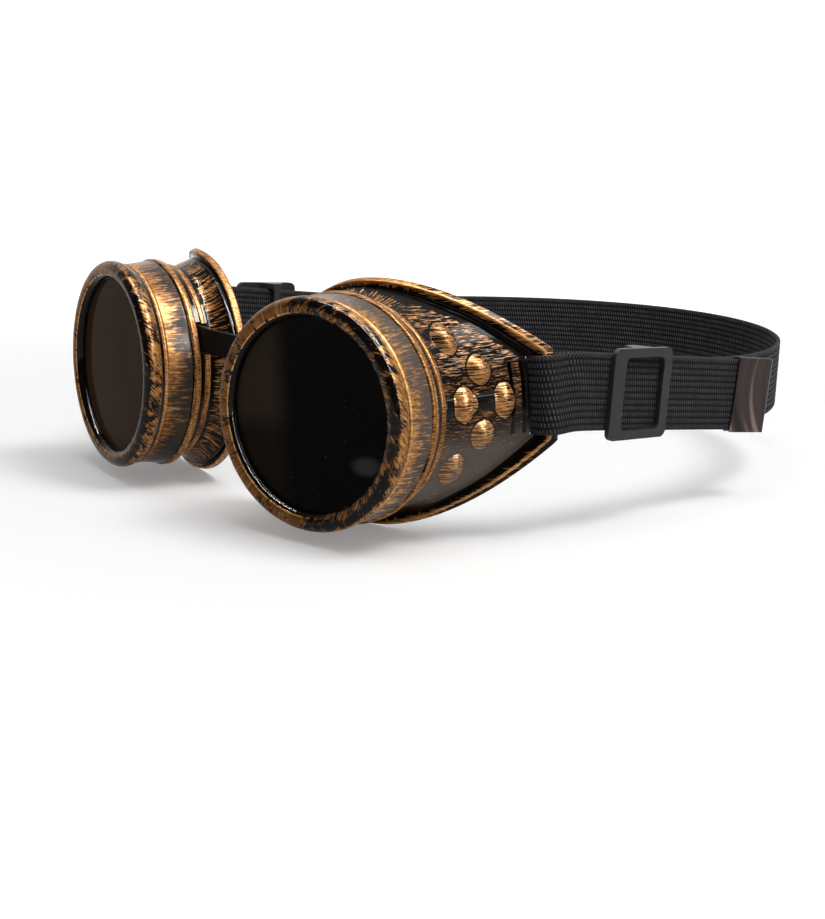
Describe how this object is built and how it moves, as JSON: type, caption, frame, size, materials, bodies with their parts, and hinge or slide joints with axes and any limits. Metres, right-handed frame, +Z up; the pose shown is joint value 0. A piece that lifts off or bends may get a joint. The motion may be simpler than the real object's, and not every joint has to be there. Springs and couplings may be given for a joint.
{
  "type": "goggles",
  "caption": "Round screw-front goggles with side shields, dark lenses in turned bezels, a nose bridge band and an elastic head strap with sliders.",
  "frame": {"origin": "middle of the head loop, level with the middles of the lenses; the head that wears the goggles holds them there", "axes": "+X to the wearer's left, -Y is the way the wearer looks, +Z up"},
  "size_m": [0.1608, 0.2172, 0.0637],
  "materials": {
    "aged_copper_shell": "gloss black plastic dry-brushed with copper, bronze on the edges and domes",
    "aged_copper_bezel": "gloss black plastic dry-brushed with copper, bronze on the lip and rings",
    "dark_lens": "polished, nearly opaque",
    "clear_lens": "polished clear plastic",
    "seal_rubber": "matt",
    "bridge_rubber": "satin",
    "elastic_webbing": "ribbed knit elastic",
    "slider_plastic": "fine matt moulding",
    "tip_metal": "dark bronze plating, glossy"
  },
  "bodies": {
    "left_cup": {"left_cup": "aged_copper_shell", "nose_bridge": "bridge_rubber", "head_strap": "elastic_webbing", "left_strap_tip": "tip_metal"},
    "right_cup": {"right_cup": "aged_copper_shell", "right_strap_tip": "tip_metal"},
    "left_lens": {"left_dark_lens": "dark_lens", "left_clear_lens": "clear_lens", "left_seal_ring": "seal_rubber"},
    "left_bezel": {"left_bezel": "aged_copper_bezel"},
    "right_lens": {"right_dark_lens": "dark_lens", "right_clear_lens": "clear_lens", "right_seal_ring": "seal_rubber"},
    "right_bezel": {"right_bezel": "aged_copper_bezel"},
    "left_slider": {"left_strap_slider": "slider_plastic"},
    "right_slider": {"right_strap_slider": "slider_plastic"}
  },
  "joints": [
    {"name": "bridge_flex", "type": "hinge", "parent": "left_cup", "child": "right_cup", "pos_m": [0, -0.1068, 0.0105], "axis": [0, 0, 1], "range_deg": [-15, 20], "stiffness_Nm_per_rad": 0.02, "deforming": ["nose_bridge", "head_strap"]},
    {"name": "left_lens_slide", "type": "slide", "parent": "left_cup", "child": "left_lens", "axis": [0.1908, -0.9816, 0], "range_m": [0, 0.006]},
    {"name": "left_bezel_turn", "type": "hinge", "parent": "left_lens", "child": "left_bezel", "pos_m": [0.0435, -0.115, 0], "axis": [0.1908, -0.9816, 0], "range_deg": [0, 720]},
    {"name": "right_lens_slide", "type": "slide", "parent": "right_cup", "child": "right_lens", "axis": [-0.1908, -0.9816, 0], "range_m": [0, 0.006]},
    {"name": "right_bezel_turn", "type": "hinge", "parent": "right_lens", "child": "right_bezel", "pos_m": [-0.0435, -0.115, 0], "axis": [-0.1908, -0.9816, 0], "range_deg": [0, 720]},
    {"name": "left_slider_slide", "type": "slide", "parent": "left_cup", "child": "left_slider", "axis": [0, 0.9945, -0.1045], "range_m": [-0.006, 0.016]},
    {"name": "right_slider_slide", "type": "slide", "parent": "right_cup", "child": "right_slider", "axis": [0, 0.9945, -0.1045], "range_m": [-0.006, 0.016]}
  ],
  "couplings": [
    {"joint": "left_lens_slide", "follows": "left_bezel_turn", "m_per_rad": 0.00047746},
    {"joint": "right_lens_slide", "follows": "right_bezel_turn", "m_per_rad": 0.00047746}
  ]
}
